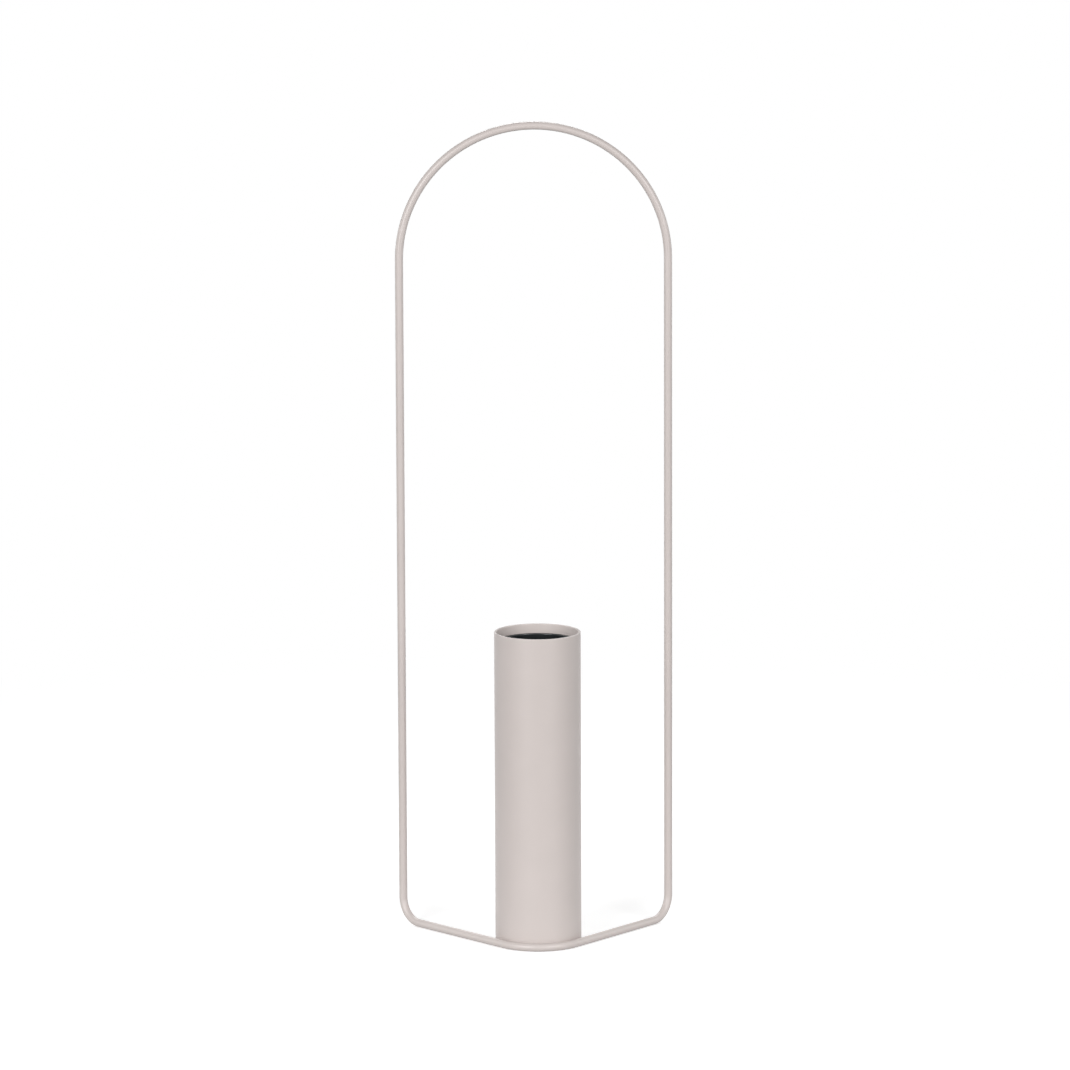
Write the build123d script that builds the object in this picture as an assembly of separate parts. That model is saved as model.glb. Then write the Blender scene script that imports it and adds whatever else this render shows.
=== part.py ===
from build123d import *
from math import cos, degrees, radians, sin, sqrt
import os

# Test tube vase, in millimetres: a steel sleeve with a lift-out liner, welded into the nose of a bent wire loop.
# +Z is up. The origin is on the sleeve's axis, in the plane of the table.
# The nose of the foot points to -Y, and the legs and the arch stand at +Y.

# Wire frame
WIRE_DIAMETER = 5.0
LEG_SPACING = 165.0  # between the centrelines of the two legs
ARCH_SPRING_HEIGHT = 416.5  # from the table to where the straight legs turn into the arch
CORNER_RADIUS = 14.5  # centreline of the bend between an arm of the foot and its leg
ARM_ANGLE = 49.0  # degrees from the X axis to each arm of the foot
FRONT_ANGLE = -90.0  # degrees in plan, where the nose points

# Sleeve
SLEEVE_DIAMETER = 53.0
SLEEVE_WALL = 1.5
SLEEVE_HEIGHT = 194.0
MOUTH_ROUND_SHARE = 0.4  # of the wall, the rounding of both edges at the mouth
FOOT_ROUND_SHARE = 0.2  # of the wall, the rounding of both edges at the foot

# Base disc, closing the foot of the sleeve
DISC_THICKNESS = 2.0
DISC_RECESS = 2.0  # from the table up to the underside of the disc
DISC_CLEARANCE = 0.1  # between the disc's edge and the sleeve
DISC_ROUND_SHARE = 0.15  # of the thickness, the rounding of both edges

# Ring weld, the fillet between the disc and the sleeve
RING_LEG_SHARE = 0.7  # of the recess, both legs of the fillet
RING_CROWN_SHARE = 0.12  # of its leg, how far its face bulges

# Stitch welds, in the groove under the nose
FIT_UP_GAP = 0.05  # between the nose of the wire and the sleeve
STITCH_COUNT = 3
STITCH_LENGTH = 9.0  # along the sleeve
STITCH_SPREAD_SHARE = 0.7  # of the nose's half angle, where the outer stitches are centred
STITCH_FACE_SHARE = 0.24  # of the wire's radius, the height of a stitch's lower face
STITCH_ROOT_SHARE = 0.6  # of the wire's radius, the height of its upper face
STITCH_CROWN_SHARE = 0.12  # of the lower face's width, how far it bulges

# Liner
LINER_RIM_DROP = 5.6  # from the sleeve's mouth down to the liner's rim
LINER_CLEARANCE = 0.3  # between the liner's lip and the sleeve
LINER_WALL = 1.4
LINER_FLOOR = 2.2  # on the axis
LINER_FOOT_DIAMETER = 16.0  # flat spot that the dome stands on
LIP_HEIGHT = 5.0
LIP_PROJECTION = 0.8  # beyond the liner's body
LIP_ROUND_SHARE = 0.3  # of the lip's width, the rounding of both edges at the rim

# Sizes that follow from these
wire_radius = WIRE_DIAMETER / 2
sleeve_radius = SLEEVE_DIAMETER / 2
sleeve_bore_radius = sleeve_radius - SLEEVE_WALL
nose_radius = sleeve_radius + FIT_UP_GAP + wire_radius
disc_top = DISC_RECESS + DISC_THICKNESS
lip_radius = sleeve_bore_radius - LINER_CLEARANCE
liner_radius = lip_radius - LIP_PROJECTION
liner_bore_radius = liner_radius - LINER_WALL
liner_rim = SLEEVE_HEIGHT - LINER_RIM_DROP

UP = Vector(0, 0, 1)


def profile_point(radius, height):
    """A point of a profile that is turned about the sleeve's axis."""
    return Vector(radius, 0, height)


def crowned(start, end, root, crown):
    """The face of a weld bead: an arc from start to end that bulges away from the bead's root."""
    middle = (start + end) / 2
    outward = (middle - root).normalized()
    return ThreePointArc(start, middle + outward * crown, end)


def frame_path():
    """Centreline of the wire: nose, arms, corners, legs and arch, as one closed loop."""
    half = LEG_SPACING / 2
    nose = CenterArc((0, 0, wire_radius), nose_radius, FRONT_ANGLE - ARM_ANGLE, 2 * ARM_ANGLE)
    nose_end = nose @ 1
    along = Vector(cos(radians(ARM_ANGLE)), sin(radians(ARM_ANGLE)), 0)
    corner = nose_end + along * ((half - nose_end.X) / along.X)
    arm_end = corner - along * CORNER_RADIUS
    leg_start = corner + UP * CORNER_RADIUS
    leg_end = Vector(half, corner.Y, ARCH_SPRING_HEIGHT)
    arch_top = Vector(0, corner.Y, ARCH_SPRING_HEIGHT + half)
    side = [
        Line(nose_end, arm_end),
        TangentArc(arm_end, leg_start, tangent=along),
        Line(leg_start, leg_end),
    ]
    other_side = [mirror(piece, Plane.YZ) for piece in side]
    arch = ThreePointArc(leg_end, arch_top, Vector(-half, corner.Y, ARCH_SPRING_HEIGHT))
    pieces = [nose, *side, arch, *other_side]
    return Wire([piece.edge() for piece in pieces])


def make_wire_frame():
    path = frame_path()
    section = Plane(origin=path @ 0, z_dir=path % 0) * Circle(wire_radius)
    return sweep(section, path=path)


def make_sleeve():
    middle = Pos(sleeve_radius - SLEEVE_WALL / 2, SLEEVE_HEIGHT / 2)
    wall = middle * Rectangle(SLEEVE_WALL, SLEEVE_HEIGHT)
    wall = fillet(wall.vertices().group_by(Axis.Y)[-1], SLEEVE_WALL * MOUTH_ROUND_SHARE)
    wall = fillet(wall.vertices().group_by(Axis.Y)[0], SLEEVE_WALL * FOOT_ROUND_SHARE)
    return revolve(Plane.XZ * wall, Axis.Z)


def make_base_disc():
    radius = sleeve_bore_radius - DISC_CLEARANCE
    disc = Pos(0, 0, DISC_RECESS + DISC_THICKNESS / 2) * Cylinder(radius, DISC_THICKNESS)
    return fillet(disc.edges().filter_by(GeomType.CIRCLE), DISC_THICKNESS * DISC_ROUND_SHARE)


def make_ring_weld():
    """Fillet weld in the recess, between the underside of the disc and the sleeve."""
    leg = DISC_RECESS * RING_LEG_SHARE
    root = profile_point(sleeve_bore_radius, DISC_RECESS)
    on_sleeve = root - UP * leg
    on_disc = profile_point(sleeve_bore_radius - leg, DISC_RECESS)
    face = crowned(on_sleeve, on_disc, root, leg * RING_CROWN_SHARE)
    bead = make_face([Line(root, on_sleeve), face, Line(on_disc, root)])
    return revolve(bead, Axis.Z)


def wire_side(height):
    """The point of the nose's surface that faces the sleeve at this height."""
    reach = sqrt(wire_radius**2 - (wire_radius - height) ** 2)
    return profile_point(nose_radius - reach, height)


def make_stitch_welds():
    """Short beads between the wire and the sleeve, spread along the nose."""
    face_height = wire_radius * STITCH_FACE_SHARE
    root_height = wire_radius * STITCH_ROOT_SHARE
    sleeve_low = profile_point(sleeve_radius, face_height)
    sleeve_high = profile_point(sleeve_radius, root_height)
    wire_low = wire_side(face_height)
    wire_high = wire_side(root_height)
    crown = (wire_low - sleeve_low).length * STITCH_CROWN_SHARE
    bead = make_face([
        Line(sleeve_low, sleeve_high),
        Line(sleeve_high, wire_high),
        ThreePointArc(wire_high, wire_side((face_height + root_height) / 2), wire_low),
        crowned(wire_low, sleeve_low, sleeve_high, crown),
    ])
    bead_angle = degrees(STITCH_LENGTH / sleeve_radius)
    spread = ARM_ANGLE * STITCH_SPREAD_SHARE
    step = 2 * spread / (STITCH_COUNT - 1)
    first = FRONT_ANGLE - spread - bead_angle / 2
    stitches = [Rot(0, 0, first + step * i) * revolve(bead, Axis.Z, bead_angle) for i in range(STITCH_COUNT)]
    return Compound(children=[stitch.solid() for stitch in stitches])


def make_liner():
    """Round-ended tube with a lip that centres it in the sleeve and a flat spot that stands on the disc."""
    foot_radius = LINER_FOOT_DIAMETER / 2
    dome_centre = disc_top + sqrt(liner_radius**2 - foot_radius**2)
    cup_bottom = disc_top + LINER_FLOOR
    cup_centre = cup_bottom + liner_bore_radius
    lip_start = liner_rim - LIP_HEIGHT
    foot = profile_point(0, disc_top)
    foot_edge = profile_point(foot_radius, disc_top)
    dome_end = profile_point(liner_radius, dome_centre)
    lip_under = profile_point(liner_radius, lip_start)
    lip_edge = profile_point(lip_radius, lip_start + LIP_PROJECTION)
    rim_outer = profile_point(lip_radius, liner_rim)
    rim_inner = profile_point(liner_bore_radius, liner_rim)
    cup_edge = profile_point(liner_bore_radius, cup_centre)
    cup_end = profile_point(0, cup_bottom)
    section = make_face([
        Line(foot, foot_edge),
        TangentArc(dome_end, foot_edge, tangent=-UP),
        Polyline(dome_end, lip_under, lip_edge, rim_outer, rim_inner, cup_edge),
        TangentArc(cup_edge, cup_end, tangent=-UP),
        Line(cup_end, foot),
    ])
    rim_corners = section.vertices().group_by(Axis.Z)[-1]
    lip_width = lip_radius - liner_bore_radius
    return revolve(fillet(rim_corners, lip_width * LIP_ROUND_SHARE), Axis.Z)


NODES = {
    "wire_frame": make_wire_frame,
    "sleeve": make_sleeve,
    "base_disc": make_base_disc,
    "ring_weld": make_ring_weld,
    "stitch_welds": make_stitch_welds,
    "liner": make_liner,
}


def main():
    os.makedirs("parts", exist_ok=True)
    for name, make in NODES.items():
        export_step(make(), f"parts/{name}.step")


if __name__ == "__main__":
    main()
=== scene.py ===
import math
import bpy
from mathutils import Matrix, Vector


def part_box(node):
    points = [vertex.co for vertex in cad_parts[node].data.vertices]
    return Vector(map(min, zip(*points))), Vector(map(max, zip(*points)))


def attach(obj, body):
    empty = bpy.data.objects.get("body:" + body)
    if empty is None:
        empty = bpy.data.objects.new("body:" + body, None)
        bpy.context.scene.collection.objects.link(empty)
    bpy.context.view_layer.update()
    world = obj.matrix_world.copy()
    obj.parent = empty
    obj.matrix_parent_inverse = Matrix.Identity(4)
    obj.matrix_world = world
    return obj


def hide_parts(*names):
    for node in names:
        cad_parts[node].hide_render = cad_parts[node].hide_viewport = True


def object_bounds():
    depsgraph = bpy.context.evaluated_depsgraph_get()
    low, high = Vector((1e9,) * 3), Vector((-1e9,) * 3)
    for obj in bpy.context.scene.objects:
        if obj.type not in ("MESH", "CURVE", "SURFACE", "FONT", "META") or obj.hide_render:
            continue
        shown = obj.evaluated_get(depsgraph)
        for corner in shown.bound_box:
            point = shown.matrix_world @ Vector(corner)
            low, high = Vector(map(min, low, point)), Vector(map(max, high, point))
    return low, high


# Looks of the test tube vase: a powder-coated wire loop and sleeve, and a dark lift-out liner.
# All lengths are in metres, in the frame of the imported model.

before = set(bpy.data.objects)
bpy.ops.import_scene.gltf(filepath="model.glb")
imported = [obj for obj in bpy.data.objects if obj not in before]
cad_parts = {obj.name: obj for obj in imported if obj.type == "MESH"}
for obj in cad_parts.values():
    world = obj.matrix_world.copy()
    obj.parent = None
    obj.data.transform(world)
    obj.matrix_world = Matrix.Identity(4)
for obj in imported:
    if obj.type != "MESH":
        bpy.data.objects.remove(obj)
cad_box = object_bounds()

MM = 0.001
UP = Vector((0, 0, 1))

# Wire, whose other sizes come from its box
WIRE_RADIUS = 2.5 * MM
ARM_ANGLE = math.radians(49)
CORNER_RADIUS = 14.5 * MM

# Sleeve and its floor plate
SLEEVE_WALL = 1.5 * MM
MOUTH_ROUND = 0.6 * MM
FOOT_ROUND = 0.3 * MM
DISC_ROUND = 0.3 * MM

# Weld beads
RING_LEG = 1.4 * MM
RING_SWELL = 0.12 * MM
STITCH_COUNT = 3
STITCH_LENGTH = 9.0 * MM
STITCH_SPREAD = 0.7 * ARM_ANGLE  # from the middle of the nose to the outer stitches
STITCH_FACE_SHARE = 0.24  # of the wire's radius, the height of a stitch's face above the table
STITCH_SWELL = 0.07 * MM
STITCH_TAPER = 1.4 * MM  # length that is drawn in at each end
RIPPLE_PITCH = 1.3 * MM
RIPPLE_DEPTH = 0.05 * MM
RIPPLE_BOW = 1.9  # in radians, how far the middle of a ripple runs ahead of its ends

# Liner
LIP_PROJECTION = 0.8 * MM
LIP_HEIGHT = 5.0 * MM
LIP_ROUND = 0.66 * MM
LINER_WALL = 1.4 * MM
LINER_FLOOR = 2.2 * MM
LINER_FOOT_RADIUS = 8.0 * MM
GATE_RADIUS = 1.6 * MM
GATE_DEPTH = 0.25 * MM

# Fineness of the meshes
WIRE_SIDES = 48
NOSE_STEPS = 32
CORNER_STEPS = 24
ARCH_STEPS = 72
TURNED_SEGMENTS = 192
ROUND_STEPS = 8
DOME_STEPS = 28
BEAD_FACE_STEPS = 8
RIPPLE_STEPS = 10
WALL_STEP = 8 * MM
SUPPORT_GAP = 0.2 * MM
RUN_END_GAP = 2 * SUPPORT_GAP

wire_low, wire_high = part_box("wire_frame")
sleeve_low, sleeve_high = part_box("sleeve")
disc_low, disc_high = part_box("base_disc")
liner_low, liner_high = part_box("liner")
stitch_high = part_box("stitch_welds")[1]

sleeve_radius = sleeve_high.x
bore_radius = sleeve_radius - SLEEVE_WALL
leg_x = wire_high.x - WIRE_RADIUS
leg_y = wire_high.y - WIRE_RADIUS
arch_spring = wire_high.z - WIRE_RADIUS - leg_x
nose_radius = -wire_low.y - WIRE_RADIUS
foot_z = wire_low.z + WIRE_RADIUS
stitch_face = STITCH_FACE_SHARE * WIRE_RADIUS
stitch_root = stitch_high.z


def new_object(name, data):
    """A new object of the scene."""
    obj = bpy.data.objects.new(name, data)
    bpy.context.scene.collection.objects.link(obj)
    return obj


def mesh_object(name, verts, faces):
    """A smooth-shaded mesh object."""
    mesh = bpy.data.meshes.new(name)
    mesh.from_pydata(verts, [], faces)
    mesh.validate()
    mesh.shade_smooth()
    return new_object(name, mesh)


def ring_faces(count, size, closed):
    """Faces between rings of vertices that follow each other. If closed, the last ring meets the first."""
    faces = []
    for i in range(count if closed else count - 1):
        here = i * size
        there = (i + 1) % count * size
        for k in range(size):
            n = (k + 1) % size
            faces.append((here + k, here + n, there + n, there + k))
    return faces


def arc(radius, height, size, start, end, steps):
    """Points of an arc in a profile, about (radius, height), with both ends. Angles are in degrees."""
    angles = [math.radians(start + (end - start) * i / steps) for i in range(steps + 1)]
    return [(radius + size * math.cos(a), height + size * math.sin(a)) for a in angles]


def wall(radius, start, end):
    """Points of a straight wall between two rounded ends, with a supporting ring close to each."""
    way = math.copysign(1, end - start)
    first = start + way * SUPPORT_GAP
    last = end - way * SUPPORT_GAP
    steps = max(1, round(abs(last - first) / WALL_STEP))
    return [(radius, first + (last - first) * i / steps) for i in range(steps + 1)]


def floor_ring(height, start, end):
    """Points of a flat annulus, with a supporting ring close to each edge."""
    way = math.copysign(1, end - start)
    return [(start + way * SUPPORT_GAP, height), (end - way * SUPPORT_GAP, height)]


def turned(name, profile, closed):
    """Turns (radius, height) points about Z. A closed profile joins its last point to its first."""
    verts = []
    rings = []
    for radius, height in profile:
        count = TURNED_SEGMENTS if radius > 0 else 1
        rings.append(range(len(verts), len(verts) + count))
        turns = [2 * math.pi * k / TURNED_SEGMENTS for k in range(count)]
        verts += [(radius * math.cos(t), radius * math.sin(t), height) for t in turns]
    following = rings[1:] + rings[:1] if closed else rings[1:]
    faces = []
    for lower, upper in zip(rings, following):
        for k in range(TURNED_SEGMENTS):
            n = (k + 1) % TURNED_SEGMENTS
            corners = [
                lower[k % len(lower)],
                lower[n % len(lower)],
                upper[n % len(upper)],
                upper[k % len(upper)],
            ]
            faces.append(list(dict.fromkeys(corners)))
    return mesh_object(name, verts, faces)


def sleeve_profile():
    """The sleeve's wall, from its foot up the outside, over the mouth and down the bore."""
    low = sleeve_low.z
    high = sleeve_high.z
    return [
        *arc(sleeve_radius - FOOT_ROUND, low + FOOT_ROUND, FOOT_ROUND, -90, 0, ROUND_STEPS),
        *wall(sleeve_radius, low + FOOT_ROUND, high - MOUTH_ROUND),
        *arc(sleeve_radius - MOUTH_ROUND, high - MOUTH_ROUND, MOUTH_ROUND, 0, 90, ROUND_STEPS),
        *arc(bore_radius + MOUTH_ROUND, high - MOUTH_ROUND, MOUTH_ROUND, 90, 180, ROUND_STEPS),
        *wall(bore_radius, high - MOUTH_ROUND, low + FOOT_ROUND),
        *arc(bore_radius + FOOT_ROUND, low + FOOT_ROUND, FOOT_ROUND, 180, 270, ROUND_STEPS),
    ]


def disc_profile():
    """The floor plate with its rounded edges, from the middle of its underside to the middle of its top."""
    edge = disc_high.x - DISC_ROUND
    low = disc_low.z
    high = disc_high.z
    return [
        (0, low),
        *floor_ring(low, 0, edge),
        *arc(edge, low + DISC_ROUND, DISC_ROUND, -90, 0, ROUND_STEPS),
        *arc(edge, high - DISC_ROUND, DISC_ROUND, 0, 90, ROUND_STEPS),
        *floor_ring(high, edge, 0),
        (0, high),
    ]


def liner_profile():
    """The liner, from its gate mark round the dome, up to the lip, over the rim and down into the cup."""
    lip = liner_high.x
    body = lip - LIP_PROJECTION
    bore = body - LINER_WALL
    foot = liner_low.z
    rim = liner_high.z
    dome_height = math.sqrt(body**2 - LINER_FOOT_RADIUS**2)
    dome_start = -math.degrees(math.acos(LINER_FOOT_RADIUS / body))
    cup = foot + LINER_FLOOR + bore
    under_lip = rim - LIP_HEIGHT
    return [
        (0, foot + GATE_DEPTH),
        (GATE_RADIUS - GATE_DEPTH, foot + GATE_DEPTH),
        (GATE_RADIUS, foot),
        *floor_ring(foot, GATE_RADIUS, LINER_FOOT_RADIUS),
        *arc(0, foot + dome_height, body, dome_start, 0, DOME_STEPS),
        *wall(body, foot + dome_height, under_lip),
        *arc(lip, under_lip, LIP_PROJECTION, 180, 90, ROUND_STEPS),
        *wall(lip, under_lip + LIP_PROJECTION, rim - LIP_ROUND),
        *arc(lip - LIP_ROUND, rim - LIP_ROUND, LIP_ROUND, 0, 90, ROUND_STEPS),
        *arc(bore + LIP_ROUND, rim - LIP_ROUND, LIP_ROUND, 90, 180, ROUND_STEPS),
        *wall(bore, rim - LIP_ROUND, cup),
        *arc(0, cup, bore, 0, -90, DOME_STEPS)[:-1],
        (0, foot + LINER_FLOOR),
    ]


def quarter_turn(steps):
    """Angles of a quarter turn, with both ends."""
    return [math.pi / 2 * i / steps for i in range(steps + 1)]


def nose_line():
    """Points of the nose's right half, from its middle to the right arm."""
    angles = [-math.pi / 2 + ARM_ANGLE * i / NOSE_STEPS for i in range(NOSE_STEPS + 1)]
    return [Vector((nose_radius * math.cos(a), nose_radius * math.sin(a), foot_z)) for a in angles]


def corner_line():
    """Points of the bend from the right arm up into the right leg."""
    along = Vector((math.cos(ARM_ANGLE), math.sin(ARM_ANGLE), 0))
    centre = Vector((leg_x, leg_y, foot_z)) + CORNER_RADIUS * (UP - along)
    return [
        centre + CORNER_RADIUS * (along * math.sin(a) - UP * math.cos(a))
        for a in quarter_turn(CORNER_STEPS)
    ]


def arch_line():
    """Points of the arch's right half, from the right leg to the top."""
    return [
        Vector((leg_x * math.cos(a), leg_y, arch_spring + leg_x * math.sin(a)))
        for a in quarter_turn(ARCH_STEPS)
    ]


def between(start, end):
    """Points inside a straight run, close together at its ends."""
    length = (end - start).length
    steps = max(2, round(length / WALL_STEP))
    near = RUN_END_GAP / length
    shares = [near, *[i / steps for i in range(1, steps)], 1 - near]
    return [start.lerp(end, s) for s in shares]


def wire_line():
    """Points of the wire's centreline, once round from the middle of the nose."""
    nose = nose_line()
    corner = corner_line()
    arch = arch_line()
    right = nose + between(nose[-1], corner[0]) + corner + between(corner[-1], arch[0]) + arch
    left = [Vector((-p.x, p.y, p.z)) for p in right[-2:0:-1]]
    return right + left


def swept(name, line, radius, sides):
    """A round wire along a closed line, with its seam's twist spread over the whole line."""
    count = len(line)
    tangents = [(line[(i + 1) % count] - line[i - 1]).normalized() for i in range(count)]
    normals = [UP]
    for i in range(1, count + 1):
        turn = tangents[i - 1].rotation_difference(tangents[i % count])
        normals.append((turn @ normals[-1]).normalized())
    seam = normals[0].cross(normals[-1]).dot(tangents[0])
    twist = math.atan2(seam, normals[0].dot(normals[-1]))
    verts = []
    for i in range(count):
        normal = Matrix.Rotation(-twist * i / count, 3, tangents[i]) @ normals[i]
        other = tangents[i].cross(normal)
        for k in range(sides):
            a = 2 * math.pi * k / sides
            verts.append(line[i] + radius * (math.cos(a) * normal + math.sin(a) * other))
    return mesh_object(name, verts, ring_faces(count, sides, closed=True))


def bead_section(first, last, roots, swell, phase):
    """Points round a weld bead: a swollen face from toe to toe with a curved ripple, then its roots."""
    outward = ((first + last) / 2 - roots[0]).normalized()
    face = []
    for i in range(BEAD_FACE_STEPS + 1):
        share = i / BEAD_FACE_STEPS
        bow = 4 * share * (1 - share)
        ripple = abs(math.sin(phase + RIPPLE_BOW * bow))
        face.append(first.lerp(last, share) + outward * bow * (swell + RIPPLE_DEPTH * ripple))
    return face + roots


def bead_shell(sections, closed):
    """Vertices and faces of a bead through (angle, section) pairs about Z, as a ring or with two ends."""
    verts = []
    for angle, section in sections:
        verts += [(p.x * math.cos(angle), p.x * math.sin(angle), p.y) for p in section]
    size = len(sections[0][1])
    faces = ring_faces(len(sections), size, closed)
    if not closed:
        faces.append(tuple(reversed(range(size))))
        faces.append(tuple(range(len(verts) - size, len(verts))))
    return verts, faces


def ring_bead():
    """The fillet under the floor plate, once round the foot of the sleeve."""
    root = Vector((bore_radius, disc_low.z))
    on_sleeve = root - Vector((0, RING_LEG))
    on_plate = root - Vector((RING_LEG, 0))
    count = round(2 * math.pi * bore_radius / RIPPLE_PITCH) * RIPPLE_STEPS
    sections = []
    for i in range(count):
        phase = math.pi * i / RIPPLE_STEPS
        section = bead_section(on_sleeve, on_plate, [root], RING_SWELL, phase)
        sections.append((2 * math.pi * i / count, section))
    return mesh_object("ring_bead", *bead_shell(sections, closed=True))


def wire_side(height):
    """The point of the nose's surface that faces the sleeve at this height."""
    reach = math.sqrt(WIRE_RADIUS**2 - (WIRE_RADIUS - height) ** 2)
    return Vector((nose_radius - reach, height))


def stitch_sections(middle):
    """Sections of one short bead in the groove under the nose, drawn in at both ends."""
    sleeve_toe = Vector((sleeve_radius, stitch_face))
    sleeve_root = Vector((sleeve_radius, stitch_root))
    wire_toe = wire_side(stitch_face)
    wire_root = wire_side(stitch_root)
    wire_middle = wire_side((stitch_face + stitch_root) / 2)
    roots = [sleeve_root, wire_root, wire_middle]
    heart = (sleeve_root + wire_root) / 2
    count = round(STITCH_LENGTH / RIPPLE_PITCH) * RIPPLE_STEPS
    sections = []
    for i in range(count + 1):
        along = STITCH_LENGTH * i / count
        phase = math.pi * i / RIPPLE_STEPS
        section = bead_section(wire_toe, sleeve_toe, roots, STITCH_SWELL, phase)
        from_end = min(along, STITCH_LENGTH - along) + SUPPORT_GAP
        taper = min(1, from_end / STITCH_TAPER)
        fullness = math.sqrt(1 - (1 - taper) ** 2)
        angle = middle + (along - STITCH_LENGTH / 2) / sleeve_radius
        sections.append((angle, [heart.lerp(p, fullness) for p in section]))
    return sections


def stitch_beads():
    """The short beads under the nose, evenly spread about its middle."""
    verts = []
    faces = []
    for k in range(STITCH_COUNT):
        middle = -math.pi / 2 + STITCH_SPREAD * (2 * k / (STITCH_COUNT - 1) - 1)
        more_verts, more_faces = bead_shell(stitch_sections(middle), closed=False)
        faces += [[len(verts) + v for v in face] for face in more_faces]
        verts += more_verts
    return mesh_object("stitch_beads", verts, faces)


# Materials: a noise is its scale per metre and its detail, and uses the middle of its range
NOISE_RANGE = (0.3, 0.7)

COAT_TONES = ((0.585, 0.5275, 0.505), (0.6, 0.5405, 0.518))
COAT_ROUGHNESS = (0.33, 0.41)
COAT_CLOUD = (45, 3)
COAT_PEEL = (800, 2)
COAT_GRAIN = (3200, 2)
PEEL_DEPTH = 0.025 * MM
GRAIN_DEPTH = 0.008 * MM

PLASTIC_TONES = ((0.012, 0.015, 0.0165), (0.018, 0.0215, 0.0235))
PLASTIC_ROUGHNESS = (0.16, 0.26)
PLASTIC_CLOUD = (120, 3)
DRAG_LINES = (1400, 3)
DRAG_STRETCH = (1, 1, 0.02)
DRAG_DEPTH = 0.004 * MM


def new_material(name):
    """A material, its node tree and its main shader."""
    material = bpy.data.materials.new(name)
    material.use_nodes = True
    tree = material.node_tree
    return material, tree, tree.nodes["Principled BSDF"]


def add(tree, kind, **sockets):
    """A node with its unlinked inputs set by name."""
    node = tree.nodes.new(kind)
    for name, value in sockets.items():
        node.inputs[name.replace("_", " ")].default_value = value
    return node


def remap(tree, value, source, target, kind="LINEAR"):
    """Maps a value from its source range to a target range."""
    node = add(
        tree,
        "ShaderNodeMapRange",
        From_Min=source[0],
        From_Max=source[1],
        To_Min=target[0],
        To_Max=target[1],
    )
    node.interpolation_type = kind
    tree.links.new(value, node.inputs["Value"])
    return node.outputs["Result"]


def object_place(tree):
    """The place on the surface, in metres."""
    return tree.nodes.new("ShaderNodeTexCoord").outputs["Object"]


def noise(tree, place, scale, detail):
    """A noise over the surface."""
    node = add(tree, "ShaderNodeTexNoise", Scale=scale, Detail=detail)
    tree.links.new(place, node.inputs["Vector"])
    return node.outputs["Fac"]


def two_tone(tree, value, tones):
    """Maps a noise to colours between two tones."""
    node = tree.nodes.new("ShaderNodeValToRGB")
    for element, position, tone in zip(node.color_ramp.elements, NOISE_RANGE, tones):
        element.position = position
        element.color = (*tone, 1)
    tree.links.new(value, node.inputs["Fac"])
    return node.outputs["Color"]


def bumps(tree, shader, *layers):
    """Stacks bump layers of (noise, depth) under a shader."""
    normal = None
    for value, depth in layers:
        node = add(tree, "ShaderNodeBump", Strength=1.0, Distance=depth)
        tree.links.new(value, node.inputs["Height"])
        if normal:
            tree.links.new(normal, node.inputs["Normal"])
        normal = node.outputs["Normal"]
    tree.links.new(normal, shader.inputs["Normal"])


def powder_coat():
    """Warm light grey satin powder coat: faint orange peel with a fine grain on it."""
    material, tree, shader = new_material("powder_coat")
    place = object_place(tree)
    cloud = noise(tree, place, *COAT_CLOUD)
    peel = noise(tree, place, *COAT_PEEL)
    grain = noise(tree, place, *COAT_GRAIN)
    tree.links.new(two_tone(tree, cloud, COAT_TONES), shader.inputs["Base Color"])
    tree.links.new(remap(tree, grain, NOISE_RANGE, COAT_ROUGHNESS), shader.inputs["Roughness"])
    bumps(tree, shader, (peel, PEEL_DEPTH), (grain, GRAIN_DEPTH))
    return material


def liner_plastic():
    """Glossy blue-black moulded plastic, with faint drag lines along the draw of the mould."""
    material, tree, shader = new_material("liner_plastic")
    place = object_place(tree)
    drawn = add(tree, "ShaderNodeMapping", Scale=DRAG_STRETCH)
    tree.links.new(place, drawn.inputs["Vector"])
    lines = noise(tree, drawn.outputs["Vector"], *DRAG_LINES)
    cloud = noise(tree, place, *PLASTIC_CLOUD)
    tree.links.new(two_tone(tree, cloud, PLASTIC_TONES), shader.inputs["Base Color"])
    tree.links.new(remap(tree, lines, NOISE_RANGE, PLASTIC_ROUGHNESS), shader.inputs["Roughness"])
    bumps(tree, shader, (lines, DRAG_DEPTH))
    return material


def dress(obj, material, body, node):
    """Gives a piece its material and body, and hides the node that it stands for."""
    obj.data.materials.append(material)
    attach(obj, body)
    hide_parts(node)


coat = powder_coat()
plastic = liner_plastic()

loop = swept("wire_loop", wire_line(), WIRE_RADIUS, WIRE_SIDES)
dress(loop, coat, "stand", "wire_frame")
tube = turned("sleeve_tube", sleeve_profile(), closed=True)
dress(tube, coat, "stand", "sleeve")
plate = turned("floor_plate", disc_profile(), closed=False)
dress(plate, coat, "stand", "base_disc")
vessel = turned("liner_tube", liner_profile(), closed=False)
dress(vessel, plastic, "liner", "liner")
dress(ring_bead(), coat, "stand", "ring_weld")
dress(stitch_beads(), coat, "stand", "stitch_welds")

# Studio: a white floor that keeps a soft shadow, white surroundings and a ring of soft lights
WHITE = (1, 1, 1, 1)
WHITE_STRENGTH = 1.0
WORLD_LIGHT = 0.05

# Floor, with the distances from the vase over which its shadow and its bounced light fade out
FLOOR_SIZE = 12.0
FLOOR_GAP = 0.1 * MM
FLOOR_COLOUR = (0.88, 0.88, 0.88, 1)
FLOOR_GLOW = 0.5
SHADOW_FADE = (0.3, 0.9)
BOUNCE_GREY = 0.55
BOUNCE_FADE = (0.08, 0.36)

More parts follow.
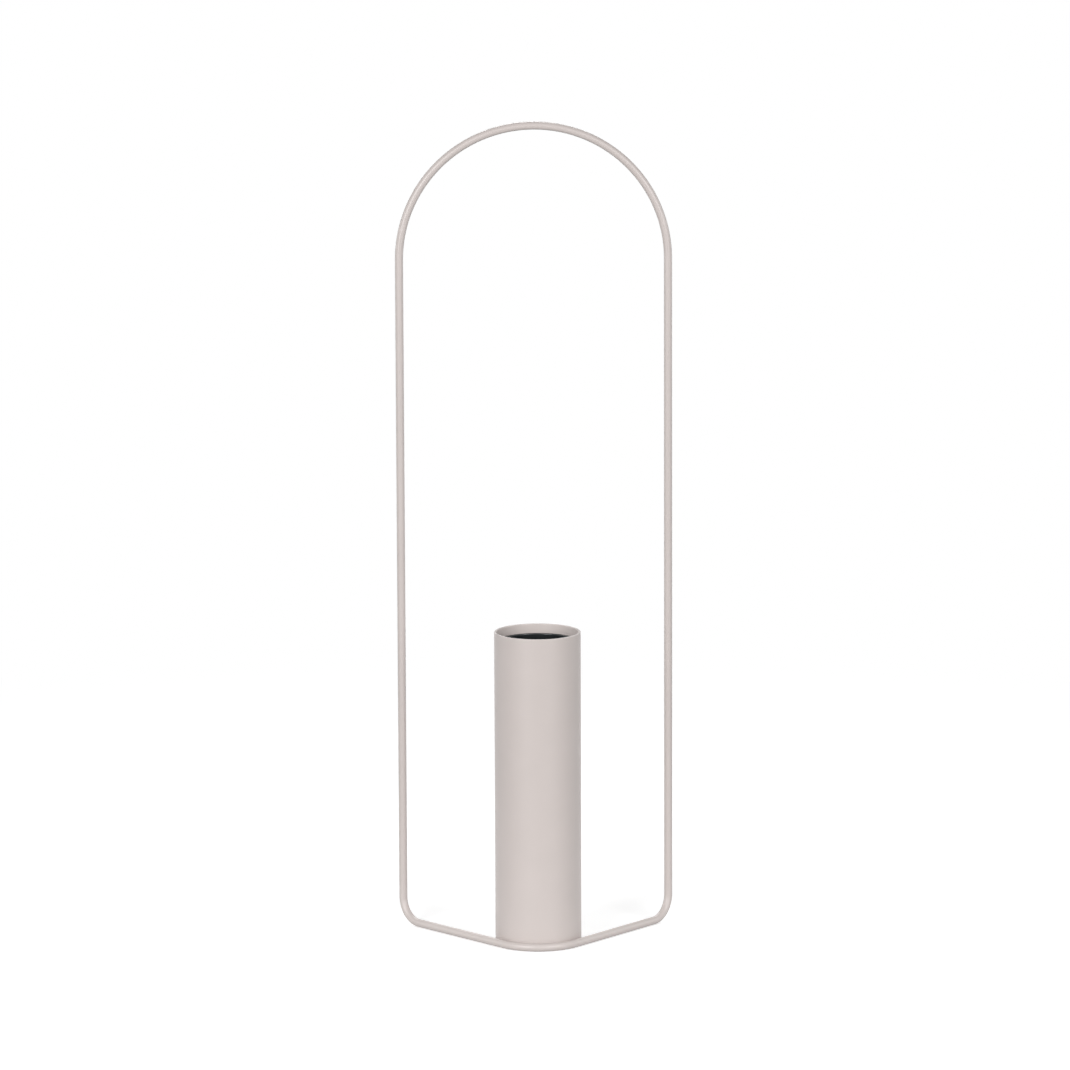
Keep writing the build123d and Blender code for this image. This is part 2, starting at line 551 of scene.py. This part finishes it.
# Soft lights, each with its turn from the front and its tilt above the table, in degrees, and its level
SOFT_LIGHT_DISTANCE = 2.2
SOFT_LIGHT_SIZE = 1.0
SOFT_LIGHTS = {
    "key_soft": (-32, 15, 0.74),
    "fill_soft": (34, 15, 0.55),
    "left_soft": (-105, 8, 0.19),
    "right_soft": (105, 8, 0.2),
    "back_soft": (180, 38, 0.38),
}


def seen_directly(tree):
    """1 for what the camera sees, also in a reflection or through clear material, and 0 for other rays."""
    path = tree.nodes.new("ShaderNodeLightPath")
    rays = [path.outputs[f"Is {kind} Ray"] for kind in ("Camera", "Glossy", "Transmission")]
    seen = rays[0]
    for ray in rays[1:]:
        either = tree.nodes.new("ShaderNodeMath")
        either.operation = "MAXIMUM"
        tree.links.new(seen, either.inputs[0])
        tree.links.new(ray, either.inputs[1])
        seen = either.outputs["Value"]
    return seen


def mix(tree, share, first, second):
    """Two shaders, from all of the first at a share of 0 to all of the second at 1."""
    node = tree.nodes.new("ShaderNodeMixShader")
    tree.links.new(share, node.inputs["Fac"])
    tree.links.new(first, node.inputs[1])
    tree.links.new(second, node.inputs[2])
    return node.outputs["Shader"]


def vase_distance(tree):
    """How far a point of the floor is from the vase's origin."""
    length = tree.nodes.new("ShaderNodeVectorMath")
    length.operation = "LENGTH"
    tree.links.new(object_place(tree), length.inputs[0])
    return length.outputs["Value"]


def shadow_floor(tree, distance):
    """A pale floor that shows the vase's shadow close to it and is plain white further out."""
    pale = add(tree, "ShaderNodeBsdfDiffuse", Color=FLOOR_COLOUR)
    glow = add(tree, "ShaderNodeEmission", Color=WHITE, Strength=FLOOR_GLOW)
    near = tree.nodes.new("ShaderNodeAddShader")
    tree.links.new(pale.outputs["BSDF"], near.inputs[0])
    tree.links.new(glow.outputs["Emission"], near.inputs[1])
    plain = add(tree, "ShaderNodeEmission", Color=WHITE, Strength=WHITE_STRENGTH)
    far = remap(tree, distance, SHADOW_FADE, (0, 1), "SMOOTHSTEP")
    return mix(tree, far, near.outputs["Shader"], plain.outputs["Emission"])


def bounce_table(tree, distance):
    """A small grey table top under the vase, which throws light back at it."""
    table = tree.nodes.new("ShaderNodeBsdfDiffuse")
    grey = remap(tree, distance, BOUNCE_FADE, (BOUNCE_GREY, 0), "SMOOTHSTEP")
    tree.links.new(grey, table.inputs["Color"])
    return table.outputs["BSDF"]


def floor_material():
    """The shadow floor where it is seen, and the table top for the light that it throws back."""
    material, tree, _ = new_material("studio_floor")
    distance = vase_distance(tree)
    table = bounce_table(tree, distance)
    seen = shadow_floor(tree, distance)
    surface = mix(tree, seen_directly(tree), table, seen)
    tree.links.new(surface, tree.nodes["Material Output"].inputs["Surface"])
    return material


def make_floor():
    """A wide floor just under the vase."""
    half = FLOOR_SIZE / 2
    z = cad_box[0].z - FLOOR_GAP
    corners = [(-half, -half, z), (half, -half, z), (half, half, z), (-half, half, z)]
    floor = mesh_object("studio_floor", corners, [(0, 1, 2, 3)])
    floor.data.materials.append(floor_material())


def make_world():
    """White where the camera, a reflection or clear material looks, and a softer light for the rest."""
    world = bpy.data.worlds.new("studio")
    bpy.context.scene.world = world
    world.use_nodes = True
    tree = world.node_tree
    background = tree.nodes["Background"]
    background.inputs["Color"].default_value = WHITE
    level = remap(tree, seen_directly(tree), (0, 1), (WORLD_LIGHT, WHITE_STRENGTH))
    tree.links.new(level, background.inputs["Strength"])


def soft_light(name, turn, tilt, level):
    """A square soft light that faces the middle of the vase.
    A level of 1 lights a white surface that faces it to plain white."""
    light = bpy.data.lights.new(name, "AREA")
    light.shape = "SQUARE"
    light.size = SOFT_LIGHT_SIZE
    light.energy = level * (math.pi * SOFT_LIGHT_DISTANCE) ** 2
    middle = (cad_box[0] + cad_box[1]) / 2
    around = math.radians(turn)
    above = math.radians(tilt)
    horizontal = Vector((math.sin(around), -math.cos(around), 0))
    outward = horizontal * math.cos(above) + UP * math.sin(above)
    obj = new_object(name, light)
    obj.location = middle + outward * SOFT_LIGHT_DISTANCE
    obj.rotation_euler = (-outward).to_track_quat("-Z", "Y").to_euler()


make_floor()
make_world()
for light_name, settings in SOFT_LIGHTS.items():
    soft_light(light_name, *settings)

# Camera, placed as the photograph's: its distance, height and side from the foot of the sleeve,
# its turn about the vase, its tilt and its roll. The lens and the sensor are in millimetres.
CAMERA_DISTANCE = 4235.5 * MM
CAMERA_HEIGHT = 1015.6 * MM
CAMERA_SIDE = -1.25 * MM
CAMERA_TURN = math.radians(-1.73)
CAMERA_TILT = math.radians(10.195)
CAMERA_ROLL = math.radians(-0.21)
CAMERA_LENS = 237.4
SENSOR_WIDTH = 36.0


def make_camera():
    """The camera of the photograph."""
    data = bpy.data.cameras.new("photo_camera")
    data.lens = CAMERA_LENS
    data.sensor_width = SENSOR_WIDTH
    turn = Matrix.Rotation(CAMERA_TURN, 4, "Z")
    place = Matrix.Translation((CAMERA_SIDE, -CAMERA_DISTANCE, CAMERA_HEIGHT))
    tilt = Matrix.Rotation(math.pi / 2 - CAMERA_TILT, 4, "X")
    roll = Matrix.Rotation(CAMERA_ROLL, 4, "Z")
    camera = new_object("photo_camera", data)
    camera.matrix_world = turn @ place @ tilt @ roll
    bpy.context.scene.camera = camera


make_camera()
bpy.context.scene.view_settings.view_transform = "Standard"
